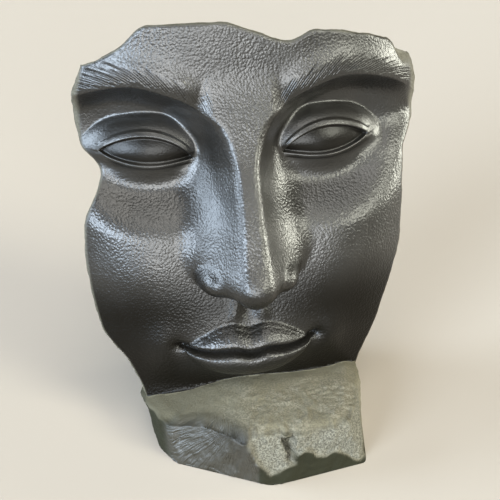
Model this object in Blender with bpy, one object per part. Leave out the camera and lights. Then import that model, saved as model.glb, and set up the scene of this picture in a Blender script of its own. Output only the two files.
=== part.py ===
"""A broken-off face, cast in one piece with the low rock stump that it stands on.

The face is laid out in thirds: one third is the height from the brow to the base of the nose, and the
same again from there to the chin. Across, the head is five eyes wide. Heights are counted from the chin.
World frame: +Z up, the face looks along -Y, and the floor is at Z = 0.
"""

import bmesh
import bpy
import numpy as np
from mathutils import Matrix, Vector, noise

# Sizes of the casting, in metres
THIRD = 0.180  # one third of the face
LEAN_BACK = 0.17  # radians that the face leans back from upright
STUMP_HEIGHT = 0.056  # floor to the ledge in front of the lips
LEDGE_DROP = 0.25  # how much lower the ledge is at its left end, as a share
EMBED = 0.026  # how far the face runs down into the stump
BACK_Y = 0.135  # the broken back, behind the point where the lower lip meets the ledge
STUMP_BACK = 0.006  # how far the stump stands out behind the broken back
DRAWN_IN = 0.16  # how much narrower the back is than the face, as a share
BREAK_DEPTH = 0.0025  # how rough the broken sides and back are
RIM_ROUGHNESS = 0.0008  # and how rough the worn edge of the skin is
FACE_TRIANGLES = 6600
SHARP_ANGLE = 0.7  # radians
NOISE_SEED = 11

# Mesh counts
COLUMNS = 120
ROWS = (6, 10, 8, 10, 6, 26, 8, 8, 8, 9, 22)
BACK_CELLS = 20
WALL_ROWS = 5
STUMP_CELLS = 22
STUMP_ROWS = 8

# Places on the face, in thirds
EYE_X = 0.470
EYE_Z = 1.700
EYE_HALF = 0.240
MOUTH_HALF = 0.345
LEDGE_Z = 0.420  # where the ledge meets the face
LIP_FRONT = 1.330  # forward depth of the face there
RIM_WIDTH = 0.014  # band of the skin that is rubbed round along the break
CORNER_WIDTH = 0.090  # the same at the corner of the right temple, where it is widest
LEFT_SHARE = 0.42  # how far it widens towards that at the outer end of the left brow
RIM_SLOPE = 0.9  # how deep the edge is rubbed down, as a share of that width
TOP_DROP = 0.30  # how far the top of the break slopes down to the back


def ease(low, high, value):
    """0 at low, 1 at high, level at both ends."""
    t = np.clip((value - low) / (high - low), 0, 1)
    return t * t * (3 - 2 * t)


def soft_max(a, b, blend):
    """The larger of two depths, with the valley between them filled over a blend."""
    h = np.clip(0.5 + 0.5 * (a - b) / blend, 0, 1)
    return b + (a - b) * h + blend * h * (1 - h)


def soft_min(a, b, blend):
    return -soft_max(-a, -b, blend)


def swell(distance):
    """A soft mound: 1 at its middle, nearly nothing two distances away."""
    return np.exp(-(distance**2))


def through(stations, at):
    """A smooth curve through (place, value) stations, without overshoot and level past both ends."""
    place, value = np.array(stations, float).T
    step = np.diff(place)
    rise = np.diff(value) / step
    slope = np.zeros(len(place))
    for i in range(1, len(place) - 1):
        if rise[i - 1] * rise[i] > 0:
            before, after = step[i - 1] + 2 * step[i], 2 * step[i - 1] + step[i]
            slope[i] = (before + after) / (before / rise[i - 1] + after / rise[i])
    at = np.clip(at, place[0], place[-1])
    i = np.clip(np.searchsorted(place, at) - 1, 0, len(place) - 2)
    t = (at - place[i]) / step[i]
    start = (1 + 2 * t) * (1 - t) ** 2 * value[i] + t * (1 - t) ** 2 * step[i] * slope[i]
    end = t * t * (3 - 2 * t) * value[i + 1] + t * t * (t - 1) * step[i] * slope[i + 1]
    return start + end


# Lines of the face: each gives a height for s, the distance from the middle of the face


def brow_line(s):
    return through(
        [(0, 1.50), (0.05, 1.62), (0.08, 1.74), (0.125, 1.84), (0.20, 1.92), (0.34, 2.00), (0.56, 2.06),
         (0.80, 2.02), (1.0, 1.91), (1.15, 1.80)], s)


def corner_line(s):
    """Through both corners of the eye, the outer one a little higher."""
    return 1.685 + 0.028 * (s - EYE_X) / EYE_HALF


def lid_arch(s, peak, fullness):
    """1 at the peak of a lid's margin and 0 at the corners of the eye."""
    t = np.clip((s - EYE_X) / EYE_HALF, -1, 1)
    t = t - peak * (1 - t * t)
    return np.clip(1 - t**2, 0, 1) ** fullness


def upper_margin(s):
    return corner_line(s) + 0.100 * lid_arch(s, -0.08, 0.85)


def lower_margin(s):
    return corner_line(s) - 0.050 * lid_arch(s, 0.15, 1.0)


def nose_base(s):
    return through([(0, 0.972), (0.05, 0.982), (0.11, 1.012), (0.17, 0.985), (0.22, 0.99), (0.29, 1.03)], s)


def upper_lip_line(s):
    return through(
        [(0, 0.776), (0.075, 0.797), (0.14, 0.787), (0.25, 0.735), (0.345, 0.682), (0.40, 0.692)], s)


def mouth_line(s):
    return through([(0, 0.652), (0.09, 0.668), (0.20, 0.660), (0.34, 0.678), (0.42, 0.695)], s)


def lower_lip_line(s):
    return 0.680 - 0.200 * np.clip(1 - (s / MOUTH_HALF) ** 2, 0, 1) ** 0.62


# Forms of the face: each gives a forward depth, in thirds


def head_form(s, z):
    """The plain mask of the head, without features."""
    middle = through(
        [(-0.2, 1.20), (0.15, 1.28), (0.42, 1.25), (0.72, 1.295), (1.05, 1.295), (1.45, 1.27),
         (1.78, 1.285), (2.08, 1.345), (2.40, 1.35), (2.75, 1.29), (3.0, 1.20)], z)
    half = through(
        [(0, 0.90), (0.42, 1.18), (0.70, 1.20), (1.0, 1.24), (1.5, 1.29), (2.0, 1.27), (3.0, 1.12)], z)
    bend = 2.65
    return middle * np.clip(1 - (s / half) ** bend, 0.02, 1) ** (1 / bend)


def cheeks_and_sockets(s, z):
    f = head_form(s, z)
    f += 0.080 * swell(np.hypot(s / 0.40, (z - 0.70) / 0.33))
    f += 0.085 * swell(np.hypot((s - 0.58) / 0.38, (z - 1.16) / 0.44))
    f += 0.035 * swell(np.hypot((s - 0.80) / 0.26, (z - 1.44) / 0.20))
    under_brow = 1 - (1 - np.clip((brow_line(s) - z) / 0.13, 0, 1)) ** 2.2
    sideways = (s - EYE_X) / 0.62 * ease(1.95, 1.60, z)
    above_cheek = ease(1.0, 0.25, np.hypot(sideways, (np.minimum(z, 1.76) - 1.76) / 0.50))
    beside_nose = 0.45 + 0.55 * ease(0.12, 0.34, s)
    outwards = 1 - 0.75 * ease(0.62, 1.05, s)
    f -= 0.185 * under_brow * above_cheek * beside_nose * outwards
    f += 0.022 * swell((z - brow_line(s) - 0.06) / 0.08) * ease(0.1, 0.3, s)
    return f


def eye_mass(s, z):
    """The ball of the eye under its lids, as one almond swelling set in the socket."""
    across = (s - EYE_X) / 0.335
    up = (z - 1.690) / np.where(z > 1.690, 0.212, 0.250)
    r = across**2 + up**2
    middle = head_form(np.full_like(s, EYE_X), np.full_like(s, EYE_Z))
    fullness = 0.55 + 0.75 * ease(1.70, 1.60, z)
    rise = np.clip(1 - r, 0, 1) ** fullness - 2 * np.clip(r - 1, 0, 1)
    return middle - 0.205 - 0.17 * (s - EYE_X) + 0.165 * rise


def lid_relief(s, z):
    """The ball lies deeper than the lids, and each lid has a raised rim along its margin."""
    above, below = z - upper_margin(s), lower_margin(s) - z
    between = ease(0, 0.014, -above) * ease(0, 0.012, -below)
    ball = 0.034 - 0.012 * swell((s - EYE_X) / 0.15) * swell((z - EYE_Z) / 0.08)
    t = (s - EYE_X) / EYE_HALF
    upper_rim = ease(0.036, 0.028, above) * ease(-0.004, 0.004, above)
    upper_rim *= ease(-1.02, -0.80, t) * ease(1.25, 0.85, t)
    lower_rim = ease(0.022, 0.016, below) * ease(-0.004, 0.004, below) * ease(1.0, 0.80, np.abs(t))
    return 0.010 * upper_rim + 0.007 * lower_rim - ball * between


def nose_planes(s, z):
    """The flat ridge, flaring into the brow arcs, and the plane side that slopes from it to the cheek."""
    ridge = through(
        [(0.96, 1.58), (1.12, 1.69), (1.30, 1.625), (1.55, 1.515), (1.74, 1.435), (1.86, 1.400),
         (1.98, 1.365), (2.12, 1.30), (2.4, 1.1)], z)
    half = through(
        [(1.05, 0.080), (1.22, 0.064), (1.45, 0.052), (1.60, 0.052), (1.74, 0.075), (1.84, 0.115),
         (1.92, 0.17)], z)
    steep = through([(1.0, 1.7), (1.3, 1.75), (1.5, 2.2), (1.7, 2.1), (1.86, 1.5)], z)
    return soft_min(ridge - 0.25 * s * s, ridge - steep * (s - half), 0.045)


def nose_tip(s, z):
    r = np.hypot(s / 0.140, (z - 1.108) / 0.150)
    return 1.705 - 0.150 * r**2


def nose_wing(s, z):
    r = np.hypot((s - 0.158) / 0.130, (z - 1.088) / 0.140)
    return 1.550 - 0.300 * r**2.4


def lips_relief(s, z):
    middle, top, bottom = mouth_line(s), upper_lip_line(s), lower_lip_line(s)
    narrowing = np.clip(1 - (s / MOUTH_HALF) ** 2, 0, 1)
    up = np.clip((z - middle) / np.maximum(top - middle, 1e-3), 0, 1)
    down = np.clip((middle - z) / np.maximum(middle - bottom, 1e-3), 0, 1)
    upper = 0.080 * narrowing**0.45 * np.clip(1 - up**1.8, 0, 1) ** 0.8
    lower = 0.105 * narrowing**0.5 * np.sqrt(np.clip(1 - 0.92 * (2.1 * down**0.85 - 1) ** 2, 0, 1))
    edge = 0.004
    relief = upper * ease(-edge, edge, z - middle) * ease(-edge, edge, top - z)
    relief += lower * ease(-edge, edge, middle - z) * ease(-edge, edge, z - bottom)
    rim = ease(0.016, 0.010, z - bottom) * ease(-edge, edge, z - bottom)
    relief += 0.010 * rim * narrowing**0.3
    rim = ease(0.014, 0.008, top - z) * ease(-edge, edge, top - z)
    relief += 0.007 * rim * narrowing**0.3
    relief -= 0.050 * swell((z - middle) / 0.016) * ease(0.40, 0.33, s)
    relief -= 0.022 * swell(np.hypot((s - 0.375) / 0.045, (z - 0.684) / 0.040))
    relief += 0.020 * swell(np.hypot((s - 0.46) / 0.08, (z - 0.69) / 0.12))
    relief -= 0.060 * swell(np.hypot(s / 0.30, (z - 0.42) / 0.06))
    return relief


def philtrum_relief(s, z):
    rows = ease(0.78, 0.86, z) * ease(1.0, 0.93, z)
    apart = 0.050 + 0.028 * ease(0.98, 0.80, z)
    return rows * (0.012 * swell((s - apart) / 0.032) - 0.014 * swell(s / 0.04))


def face_depth(s, z):
    blend = 0.016 + 0.100 * ease(1.72, 1.58, z) + 0.04 * ease(0.60, 0.78, s) * ease(1.85, 1.72, z)
    blend += 0.05 * ease(0.26, 0.16, s)
    skin = soft_max(cheeks_and_sockets(s, z), eye_mass(s, z), blend) + lid_relief(s, z)
    nose = soft_max(skin, nose_planes(s, z), 0.06 + 0.16 * ease(1.65, 1.35, z) * ease(1.05, 1.25, z))
    nose = soft_max(nose, nose_tip(s, z), 0.06)
    nose = soft_max(nose, nose_wing(s, z), 0.035)
    cut = ease(nose_base(s), nose_base(s) + 0.035, z)
    return skin + (nose - skin) * cut + philtrum_relief(s, z) + lips_relief(s, z)


# Where the casting was broken off, in thirds


def left_edge(z):
    return through(
        [(0.30, -0.55), (0.56, -0.63), (0.78, -0.765), (1.20, -0.817), (1.34, -0.81), (1.60, -0.705),
         (1.75, -0.80), (2.0, -0.825), (2.18, -0.765)], z)


def right_edge(z):
    return through(
        [(0.30, 0.62), (0.70, 0.765), (1.17, 0.908), (1.45, 0.914), (1.60, 0.93), (1.80, 1.034),
         (1.97, 1.03), (2.09, 0.985), (2.17, 0.90)], z)


def top_edge(x):
    return through(
        [(-0.80, 2.16), (-0.60, 2.235), (-0.44, 2.35), (-0.10, 2.355), (0.06, 2.31), (0.25, 2.248),
         (0.38, 2.295), (0.60, 2.265), (0.80, 2.212), (0.90, 2.118)], x)


def around_eye(s):
    return np.clip(1 - ((s - EYE_X) / 0.40) ** 2, 0, 1)


FOOT_Z = LEDGE_Z - EMBED / THIRD
TOP_Z = 2.40
ROW_GAP = 0.012  # least height between two guide lines
GUIDES = (  # a line of the face, the even height it settles to, and the stretch where it keeps its shape
    (lambda s: 0 * s + FOOT_Z, FOOT_Z, -1, 2),
    (lambda s: np.minimum(lower_lip_line(s), mouth_line(s) - 0.03), 0.55, -1, 0.42),
    (mouth_line, 0.66, -1, 0.42),
    (lambda s: np.maximum(upper_lip_line(s), mouth_line(s) + 0.02), 0.76, -1, 0.42),
    (nose_base, 0.98, -1, 0.30),
    (lambda s: nose_base(s) + 0.035, 1.06, -1, 0.30),
    (lambda s: 1.650 - 0.120 * around_eye(s), 1.53, 0.02, 0.76),
    (lower_margin, 1.64, 0.02, 0.76),
    (lambda s: np.maximum(upper_margin(s), lower_margin(s) + 0.014), 1.76, 0.02, 0.76),
    (lambda s: 1.725 + 0.180 * around_eye(s), 1.86, 0.02, 0.76),
    (brow_line, 1.97, 0.02, 0.90),
)


def column_x(u, z):
    """Sideways place of a column, u from 0 at the left break to 1 at the right."""
    left, right = left_edge(z), right_edge(z)
    # Columns are spread over the jaw's plain outline, so that the steps of the break fade inwards
    jaw = through([(0.3, 0.57), (2.0, 0.89)], z)
    x = jaw * (2 * u - 1)
    return x + (left + jaw) * (1 - u) ** 3 + (right - jaw) * u**3


def guide_heights(u):
    """Heights of the lines that rows of the mesh run along, for each column."""
    heights = []
    for line, even, inner, outer in GUIDES:
        z = np.full_like(u, even)
        for _ in range(3):
            s = np.abs(column_x(u, z))
            z = even + (line(s) - even) * ease(inner, inner + 0.14, s) * ease(outer + 0.17, outer, s)
        if heights:
            z = np.maximum(z, heights[-1] + ROW_GAP)
        heights.append(z)
    return heights


def front_plan(u, row):
    """Sideways place and height on the face for a column share and a row number."""
    starts = np.concatenate([[0], np.cumsum(ROWS)])
    band = np.clip(np.searchsorted(starts, row, side="right") - 1, 0, len(ROWS) - 1)
    t = (row - starts[band]) / np.array(ROWS)[band]
    heights = guide_heights(u)
    top = top_edge(column_x(u, np.full_like(u, TOP_Z)))
    heights.append(top)
    heights = np.array(heights)
    column = np.arange(len(u))
    low, high = heights[band, column], heights[band + 1, column]
    z = low + (high - low) * t
    return column_x(u, z), z


def edge_distance(x, z):
    """How far a point of the face lies inside the break, in thirds."""
    return np.minimum(np.minimum(x - left_edge(z), right_edge(z) - x), top_edge(x) - z)


def rim_width(x, z):
    right_corner = swell(np.hypot((x - 1.0) / 0.16, (z - 1.98) / 0.20))
    left_corner = swell(np.hypot((x + 0.85) / 0.12, (z - 1.95) / 0.18))
    return RIM_WIDTH + (CORNER_WIDTH - RIM_WIDTH) * (right_corner + LEFT_SHARE * left_corner)


def place(x, f, z):
    """World points of places given in thirds."""
    forward, up = (f - LIP_FRONT) * THIRD, (z - LEDGE_Z) * THIRD
    cos, sin = np.cos(LEAN_BACK), np.sin(LEAN_BACK)
    return np.stack([x * THIRD, up * sin - forward * cos, STUMP_HEIGHT + up * cos + forward * sin], axis=-1)


def roughened(points, amount, size):
    """Points moved by fractal noise, as on a broken face of the casting."""
    noise.seed_set(NOISE_SEED)
    moved = [noise.turbulence_vector(Vector(p) / size, 3, False, amplitude_scale=0.5) for p in points]
    return points + np.array(moved) * np.reshape(amount, (-1, 1))


def front_points(u, row):
    x, z = front_plan(u, row)
    s = np.abs(x)
    f = face_depth(s, z)
    width = rim_width(x, z)
    worn = np.clip(1 - edge_distance(x, z) / width, 0, 1)
    f -= RIM_SLOPE * width * worn**1.8
    # The tip and the wings hang a little, so that the underside of the nose lies level
    proud = np.clip(f - cheeks_and_sockets(s, z), 0, 0.45)
    droop = 0.10 * proud * ease(1.45, 1.15, z) * ease(0.93, 0.99, z)
    nostril = swell(np.hypot((s - 0.092) / 0.040, (z - nose_base(s) - 0.016) / 0.014))
    # The wings are rounder than their own outline
    wing = swell(np.hypot((s - 0.22) / 0.05, (z - 1.07) / 0.08)) * (proud > 0.02)
    x = x + np.sign(x) * 0.015 * wing
    points = place(x, f - 0.02 * nostril, z - droop + 0.045 * nostril)
    return roughened(points, RIM_ROUGHNESS * worn, 0.012)


def wall_points(u, v, w):
    """Points from the rim (w = 0) to the back (w = 1), drawn in and dropping towards the back."""
    top = top_edge(column_x(u, np.full_like(u, TOP_Z)))
    z = FOOT_Z + (top - FOOT_Z) * v
    x = column_x(u, z)
    rim = place(x, face_depth(np.abs(x), z) - RIM_SLOPE * rim_width(x, z), z)
    back = place(x * (1 - DRAWN_IN), LIP_FRONT, z - TOP_DROP * ease(1.0, TOP_Z, z))
    back[:, 1] = BACK_Y
    return roughened(rim + (back - rim) * w[:, None], BREAK_DEPTH * ease(-0.2, 0.3, w), 0.020)


def sheet_of_cells(across, up):
    """A flat sheet of cells, with its corners at 0 and 1."""
    bm = bmesh.new()
    bmesh.ops.create_grid(bm, x_segments=across, y_segments=up, size=0.5)
    bmesh.ops.translate(bm, verts=bm.verts, vec=(0.5, 0.5, 0))
    return bm


def set_points(verts, points):
    for vert, point in zip(verts, points):
        vert.co = point


def extrude_rim(bm, rim):
    """Extrude the open edges once: the new vertices and the new open edges."""
    made = bmesh.ops.extrude_edge_only(bm, edges=rim)["geom"]
    rim = [g for g in made if isinstance(g, bmesh.types.BMEdge) and g.is_boundary]
    return [g for g in made if isinstance(g, bmesh.types.BMVert)], rim


def build_face():
    """The face and its broken sides, closed by the broken back."""
    bm = sheet_of_cells(COLUMNS, sum(ROWS))
    front = list(bm.verts)
    share = np.array([v.co[:2] for v in front])
    set_points(front, front_points(share[:, 0], np.round(share[:, 1] * sum(ROWS))))
    front_rim = [e for e in bm.edges if e.is_boundary]

    u, v, w = (bm.verts.layers.float.new(name) for name in "uvw")
    walls = list(bmesh.ops.create_grid(bm, x_segments=BACK_CELLS, y_segments=BACK_CELLS, size=0.5)["verts"])
    for vert in walls:
        vert[u], vert[v], vert[w] = vert.co.x + 0.5, vert.co.y + 0.5, 1.0
    known = set(front_rim)
    rim = [e for e in bm.edges if e.is_boundary and e not in known]
    for step in range(1, WALL_ROWS):
        made, rim = extrude_rim(bm, rim)
        for vert in made:
            vert[w] = 1 - step / WALL_ROWS
        walls += made
    where = np.array([(vert[u], vert[v], vert[w]) for vert in walls])
    set_points(walls, wall_points(*where.T))
    bmesh.ops.bridge_loops(bm, edges=front_rim + rim)
    bmesh.ops.recalc_face_normals(bm, faces=bm.faces)
    return bm


# The stump, in metres, and its angles in degrees from the front, to the right positive

STUMP_AXIS = (0.005, 0.025)
FACETS = (  # angle, distance from the axis at half height, and how far it leans out towards the floor
    (-140, 0.138, 0), (-104, 0.1075, -0.04), (-88, 0.1027, -0.17), (-63, 0.102, -0.02), (-1, 0.1097, -0.04),
    (11, 0.110, -0.08), (55, 0.1244, 0.236), (79, 0.1095, 0.10), (102, 0.1145, 0), (140, 0.140, 0),
    (180, BACK_Y + STUMP_BACK - STUMP_AXIS[1], 0),
)
HOLLOW_ANGLE = -30  # a scooped facet, which leans back at its left end and overhangs at its right end
HOLLOW_DISTANCE = 0.094


def along_facet(away, facet, angle):
    """Distance from the axis, at an angle, of a plane that is this far away from it."""
    facing = np.cos(np.radians(angle - facet))
    return np.where(facing > 0.2, away / np.maximum(facing, 0.2), 1.0)


def facets_reach(angle, height):
    """Distance from the axis to the nearest facet, with the ridges between facets rounded."""
    reach = np.full_like(angle, 1.0)
    for facet, distance, lean in FACETS:
        away = distance + lean * (STUMP_HEIGHT / 2 - height)
        reach = soft_min(reach, along_facet(away, facet, angle), 0.004)
    flare = through(
        [(-64, 0), (-50, -0.006), (-33, -0.0035), (-25, 0.002), (-19, 0.007), (-11, 0.0136), (0, 0.018)],
        angle)
    away = HOLLOW_DISTANCE + flare * height / STUMP_HEIGHT
    return soft_min(reach, along_facet(away, HOLLOW_ANGLE, angle), 0.003)


def flake_area(angle, height):
    """Where a flake was split off in front, from the ledge down to a point."""
    left = through([(0.008, -1), (0.030, -8), (STUMP_HEIGHT, -12)], height)
    right = through([(0.020, 12), (STUMP_HEIGHT, 6.5)], height)
    low = through([(-2, 0.009), (12, 0.020)], angle)
    inside = ease(left, left + 2, angle) * ease(right + 1, right, angle)
    return inside * ease(low - 0.002, low + 0.003, height)


def crack_area(angle, height):
    left = through([(0.020, 9.5), (STUMP_HEIGHT, 6.5)], height)
    return ease(left - 0.5, left + 1, angle) * ease(12.5, 11.5, angle) * ease(0.018, 0.026, height)


def band_area(angle, height):
    """The rough band under the ledge, down to the ragged border of the smooth facet below it."""
    border = through(
        [(12, 0.031), (16, 0.0345), (21, 0.030), (23.5, 0.0235), (28.5, 0.0205), (32, 0.023),
         (38, 0.0155), (46, 0.001)], angle)
    return ease(border - 0.001, border + 0.002, height) * ease(10, 12, angle) * ease(78, 62, angle)


def chips(angle, height):
    """How deep the stump's front was broken away under the ledge."""
    flake = (0.001 + 0.009 * ease(0, STUMP_HEIGHT, height)) * flake_area(angle, height)
    crack = (0.006 + 0.008 * ease(STUMP_HEIGHT, 0.042, height)) * crack_area(angle, height)
    return flake + crack + 0.0035 * band_area(angle, height)


def ledge_share(x):
    """Height of the ledge at a sideways place, as a share of its height in front of the lips."""
    return 1 - LEDGE_DROP * ease(0.0, -0.10, x)


def stump_points(u, v, down):
    """Points of the ledge (down = 0) and of the sides (down = 1 at the floor), from a square's cells."""
    across, back = 2 * u - 1, 2 * v - 1
    ring = np.maximum(np.abs(across), np.abs(back))
    angle = np.degrees(np.arctan2(across, -back))
    height = STUMP_HEIGHT * (1 - down)
    reach = facets_reach(angle, height) - chips(angle, height)
    edge = ease(0.86, 1.0, ring) * ease(0.25, 0.0, down)
    turn = np.radians(angle)
    x = STUMP_AXIS[0] + np.sin(turn) * reach * ring
    y = STUMP_AXIS[1] - np.cos(turn) * reach * ring
    points = np.stack([x, y, (height - 0.004 * edge) * ledge_share(x)], axis=-1)
    rough = BREAK_DEPTH * (0.4 + 0.6 * ease(0.9, 1.0, ring)) * (down < 1)
    return roughened(points, rough, 0.018)


def build_stump():
    bm = sheet_of_cells(STUMP_CELLS, STUMP_CELLS)
    layers = u, v, down = [bm.verts.layers.float.new(name) for name in ("u", "v", "down")]
    for vert in bm.verts:
        vert[u], vert[v] = vert.co.x, vert.co.y
    rim = [e for e in bm.edges if e.is_boundary]
    for step in range(1, STUMP_ROWS + 1):
        made, rim = extrude_rim(bm, rim)
        for vert in made:
            vert[down] = step / STUMP_ROWS
    bmesh.ops.holes_fill(bm, edges=rim)
    where = np.array([[vert[layer] for layer in layers] for vert in bm.verts])
    set_points(bm.verts, stump_points(*where.T))
    bmesh.ops.recalc_face_normals(bm, faces=bm.faces)
    return bm


def dark_casting():
    material = bpy.data.materials.new("dark_casting")
    material.use_nodes = True
    shader = material.node_tree.nodes["Principled BSDF"]
    shader.inputs["Base Color"].default_value = (0.05, 0.05, 0.05, 1)
    shader.inputs["Roughness"].default_value = 0.4
    shader.inputs["Metallic"].default_value = 0.5
    return material


def object_from(bm, name):
    mesh = bpy.data.meshes.new(name)
    bm.to_mesh(mesh)
    bm.free()
    obj = bpy.data.objects.new(name, mesh)
    bpy.context.scene.collection.objects.link(obj)
    return obj


def join_and_stand(face, stump):
    """Thin out the face, unite it with the stump, and stand the middle of the casting over the origin."""
    thin = face.modifiers.new("thin", "DECIMATE")
    thin.ratio = FACE_TRIANGLES / sum(len(p.vertices) - 2 for p in face.data.polygons)
    union = face.modifiers.new("union", "BOOLEAN")
    union.operation, union.solver, union.object = "UNION", "EXACT", stump
    face.data = bpy.data.meshes.new_from_object(face.evaluated_get(bpy.context.evaluated_depsgraph_get()))
    face.modifiers.clear()
    bpy.data.objects.remove(stump)
    corners = np.array([v.co for v in face.data.vertices])
    middle = (corners.min(0) + corners.max(0)) / 2
    face.data.transform(Matrix.Translation((-middle[0], -middle[1], 0)))
    face.data.shade_smooth()
    face.data.set_sharp_from_angle(angle=SHARP_ANGLE)
    face.name = "face_fragment"
    face.data.materials.clear()
    face.data.materials.append(dark_casting())


for old in list(bpy.data.objects):
    bpy.data.objects.remove(old)
join_and_stand(object_from(build_face(), "face"), object_from(build_stump(), "stump"))
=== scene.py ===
import bmesh
import bpy
import numpy as np
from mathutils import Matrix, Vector, noise


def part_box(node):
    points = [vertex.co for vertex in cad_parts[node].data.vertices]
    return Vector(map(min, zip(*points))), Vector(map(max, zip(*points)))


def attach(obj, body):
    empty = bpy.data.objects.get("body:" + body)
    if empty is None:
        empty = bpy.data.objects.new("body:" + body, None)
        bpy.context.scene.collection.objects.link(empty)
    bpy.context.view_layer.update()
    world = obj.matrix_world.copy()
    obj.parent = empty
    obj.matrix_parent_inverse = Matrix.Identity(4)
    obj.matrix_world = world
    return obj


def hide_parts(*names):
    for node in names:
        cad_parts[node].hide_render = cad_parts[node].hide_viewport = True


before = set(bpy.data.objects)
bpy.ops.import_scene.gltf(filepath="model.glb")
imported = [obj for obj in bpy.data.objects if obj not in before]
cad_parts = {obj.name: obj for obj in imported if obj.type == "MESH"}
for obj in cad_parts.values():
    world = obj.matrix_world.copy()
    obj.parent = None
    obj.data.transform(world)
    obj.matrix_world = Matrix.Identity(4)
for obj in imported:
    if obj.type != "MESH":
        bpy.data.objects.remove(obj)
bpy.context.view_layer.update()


# The studio: a pale floor, cool soft lights from the left and the front, dimmer warm ones from the
# right and a broad one overhead. The camera stands a little to the left of the casting and looks
# down at it. All the lights are wide, so shadows and reflections are soft.

CAMERA_AIM = Vector((-0.019, -0.0295, 0.205))
CAMERA_DISTANCE = 0.95
CAMERA_AZIMUTH = np.radians(-10)
CAMERA_ELEVATION = np.radians(28)
FOCAL_PIXELS = 1050
IMAGE_PIXELS = 500
LAMP_DISTANCE = 3.0
LAMPS = (  # name, azimuth, elevation and width in degrees, strength and colour
    ("window_light", -46, 16, 30, 6.2, (0.72, 0.85, 1.0)),
    ("far_window_light", -100, 17, 36, 4.6, (0.70, 0.84, 1.0)),
    ("front_light", -4, 13, 32, 3.6, (0.98, 1.0, 1.0)),
    ("room_light", 46, 28, 26, 2.8, (1.0, 1.0, 0.86)),
    ("far_room_light", 92, 6, 22, 3.0, (1.0, 1.0, 0.86)),
    ("ceiling_light", 10, 66, 36, 1.7, (1.0, 0.98, 0.93)),
)
ROOM_COLOUR, ROOM_STRENGTH = (0.60, 0.52, 0.42, 1), 0.15
WALL_COLOUR = (0.79, 0.745, 0.645, 1)
PAPER_COLOUR, PAPER_ROUGHNESS = (0.380, 0.336, 0.284, 1), 0.9
FLOOR_HALF = 4


def towards(azimuth, elevation):
    """Unit vector from the casting to a camera or light. Azimuth 0 is in front of it."""
    level = np.cos(elevation)
    return Vector((np.sin(azimuth) * level, -np.cos(azimuth) * level, np.sin(elevation)))


def aimed(thing, azimuth, elevation, distance):
    """Set an object at a distance from the casting, looking at it."""
    away = towards(azimuth, elevation)
    thing.location = CAMERA_AIM + away * distance
    thing.rotation_euler = away.to_track_quat("Z", "Y").to_euler()
    bpy.context.scene.collection.objects.link(thing)


camera = bpy.data.objects.new("camera", bpy.data.cameras.new("camera"))
camera.data.sensor_width = 36
camera.data.lens = FOCAL_PIXELS / IMAGE_PIXELS * 36
aimed(camera, CAMERA_AZIMUTH, CAMERA_ELEVATION, CAMERA_DISTANCE)
bpy.context.scene.camera = camera
bpy.context.scene.view_settings.view_transform = "Standard"

for name, azimuth, elevation, width, strength, colour in LAMPS:
    lamp = bpy.data.lights.new(name, "SUN")
    lamp.angle = np.radians(width)
    lamp.energy = strength
    lamp.color = colour
    shining = bpy.data.objects.new(name, lamp)
    aimed(shining, np.radians(azimuth), np.radians(elevation), LAMP_DISTANCE)

# The room lights the casting only dimly, and shows as a pale wall past the far edge of the floor
world = bpy.data.worlds.new("room")
world.use_nodes = True
room = world.node_tree
dim = room.nodes["Background"]
dim.inputs["Color"].default_value = ROOM_COLOUR
dim.inputs["Strength"].default_value = ROOM_STRENGTH
wall = room.nodes.new("ShaderNodeBackground")
wall.inputs["Color"].default_value = WALL_COLOUR
seen = room.nodes.new("ShaderNodeMixShader")
for source, target in (
    (room.nodes.new("ShaderNodeLightPath").outputs["Is Camera Ray"], seen.inputs[0]),
    (dim.outputs[0], seen.inputs[1]),
    (wall.outputs[0], seen.inputs[2]),
    (seen.outputs[0], room.nodes["World Output"].inputs["Surface"]),
):
    room.links.new(source, target)
bpy.context.scene.world = world

bm = bmesh.new()
bmesh.ops.create_grid(bm, x_segments=1, y_segments=1, size=FLOOR_HALF)
floor_mesh = bpy.data.meshes.new("floor")
bm.to_mesh(floor_mesh)
bm.free()
floor = bpy.data.objects.new("floor", floor_mesh)
bpy.context.scene.collection.objects.link(floor)
paper = bpy.data.materials.new("pale_paper")
paper.use_nodes = True
paper_inputs = paper.node_tree.nodes["Principled BSDF"].inputs
paper_inputs["Base Color"].default_value = PAPER_COLOUR
paper_inputs["Roughness"].default_value = PAPER_ROUGHNESS
floor_mesh.materials.append(paper)


# The face: laid out in thirds, with one third from the brow to the base of the nose and the same
# again to the chin. Heights are counted from the chin and s is the distance from the middle. It is
# calm and even, with blank eyes, as a sculptor cuts it from the block before it is moulded.

THIRD = 0.180
LEAN_BACK = 0.17
STUMP_HEIGHT = 0.056
EYE_X = 0.470
EYE_Z = 1.700
EYE_HALF = 0.240
MOUTH_HALF = 0.345
LEDGE_Z = 0.420
LIP_FRONT = 1.330


def ease(low, high, value):
    """0 at low, 1 at high, level at both ends."""
    t = np.clip((value - low) / (high - low), 0, 1)
    return t * t * (3 - 2 * t)


def soft_max(a, b, blend):
    """The larger of two depths, with the valley between them filled over a blend."""
    h = np.clip(0.5 + 0.5 * (a - b) / blend, 0, 1)
    return b + (a - b) * h + blend * h * (1 - h)


def soft_min(a, b, blend):
    return -soft_max(-a, -b, blend)


def swell(distance):
    """A soft mound: 1 at its middle, nearly nothing two distances away."""
    return np.exp(-(distance**2))


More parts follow.
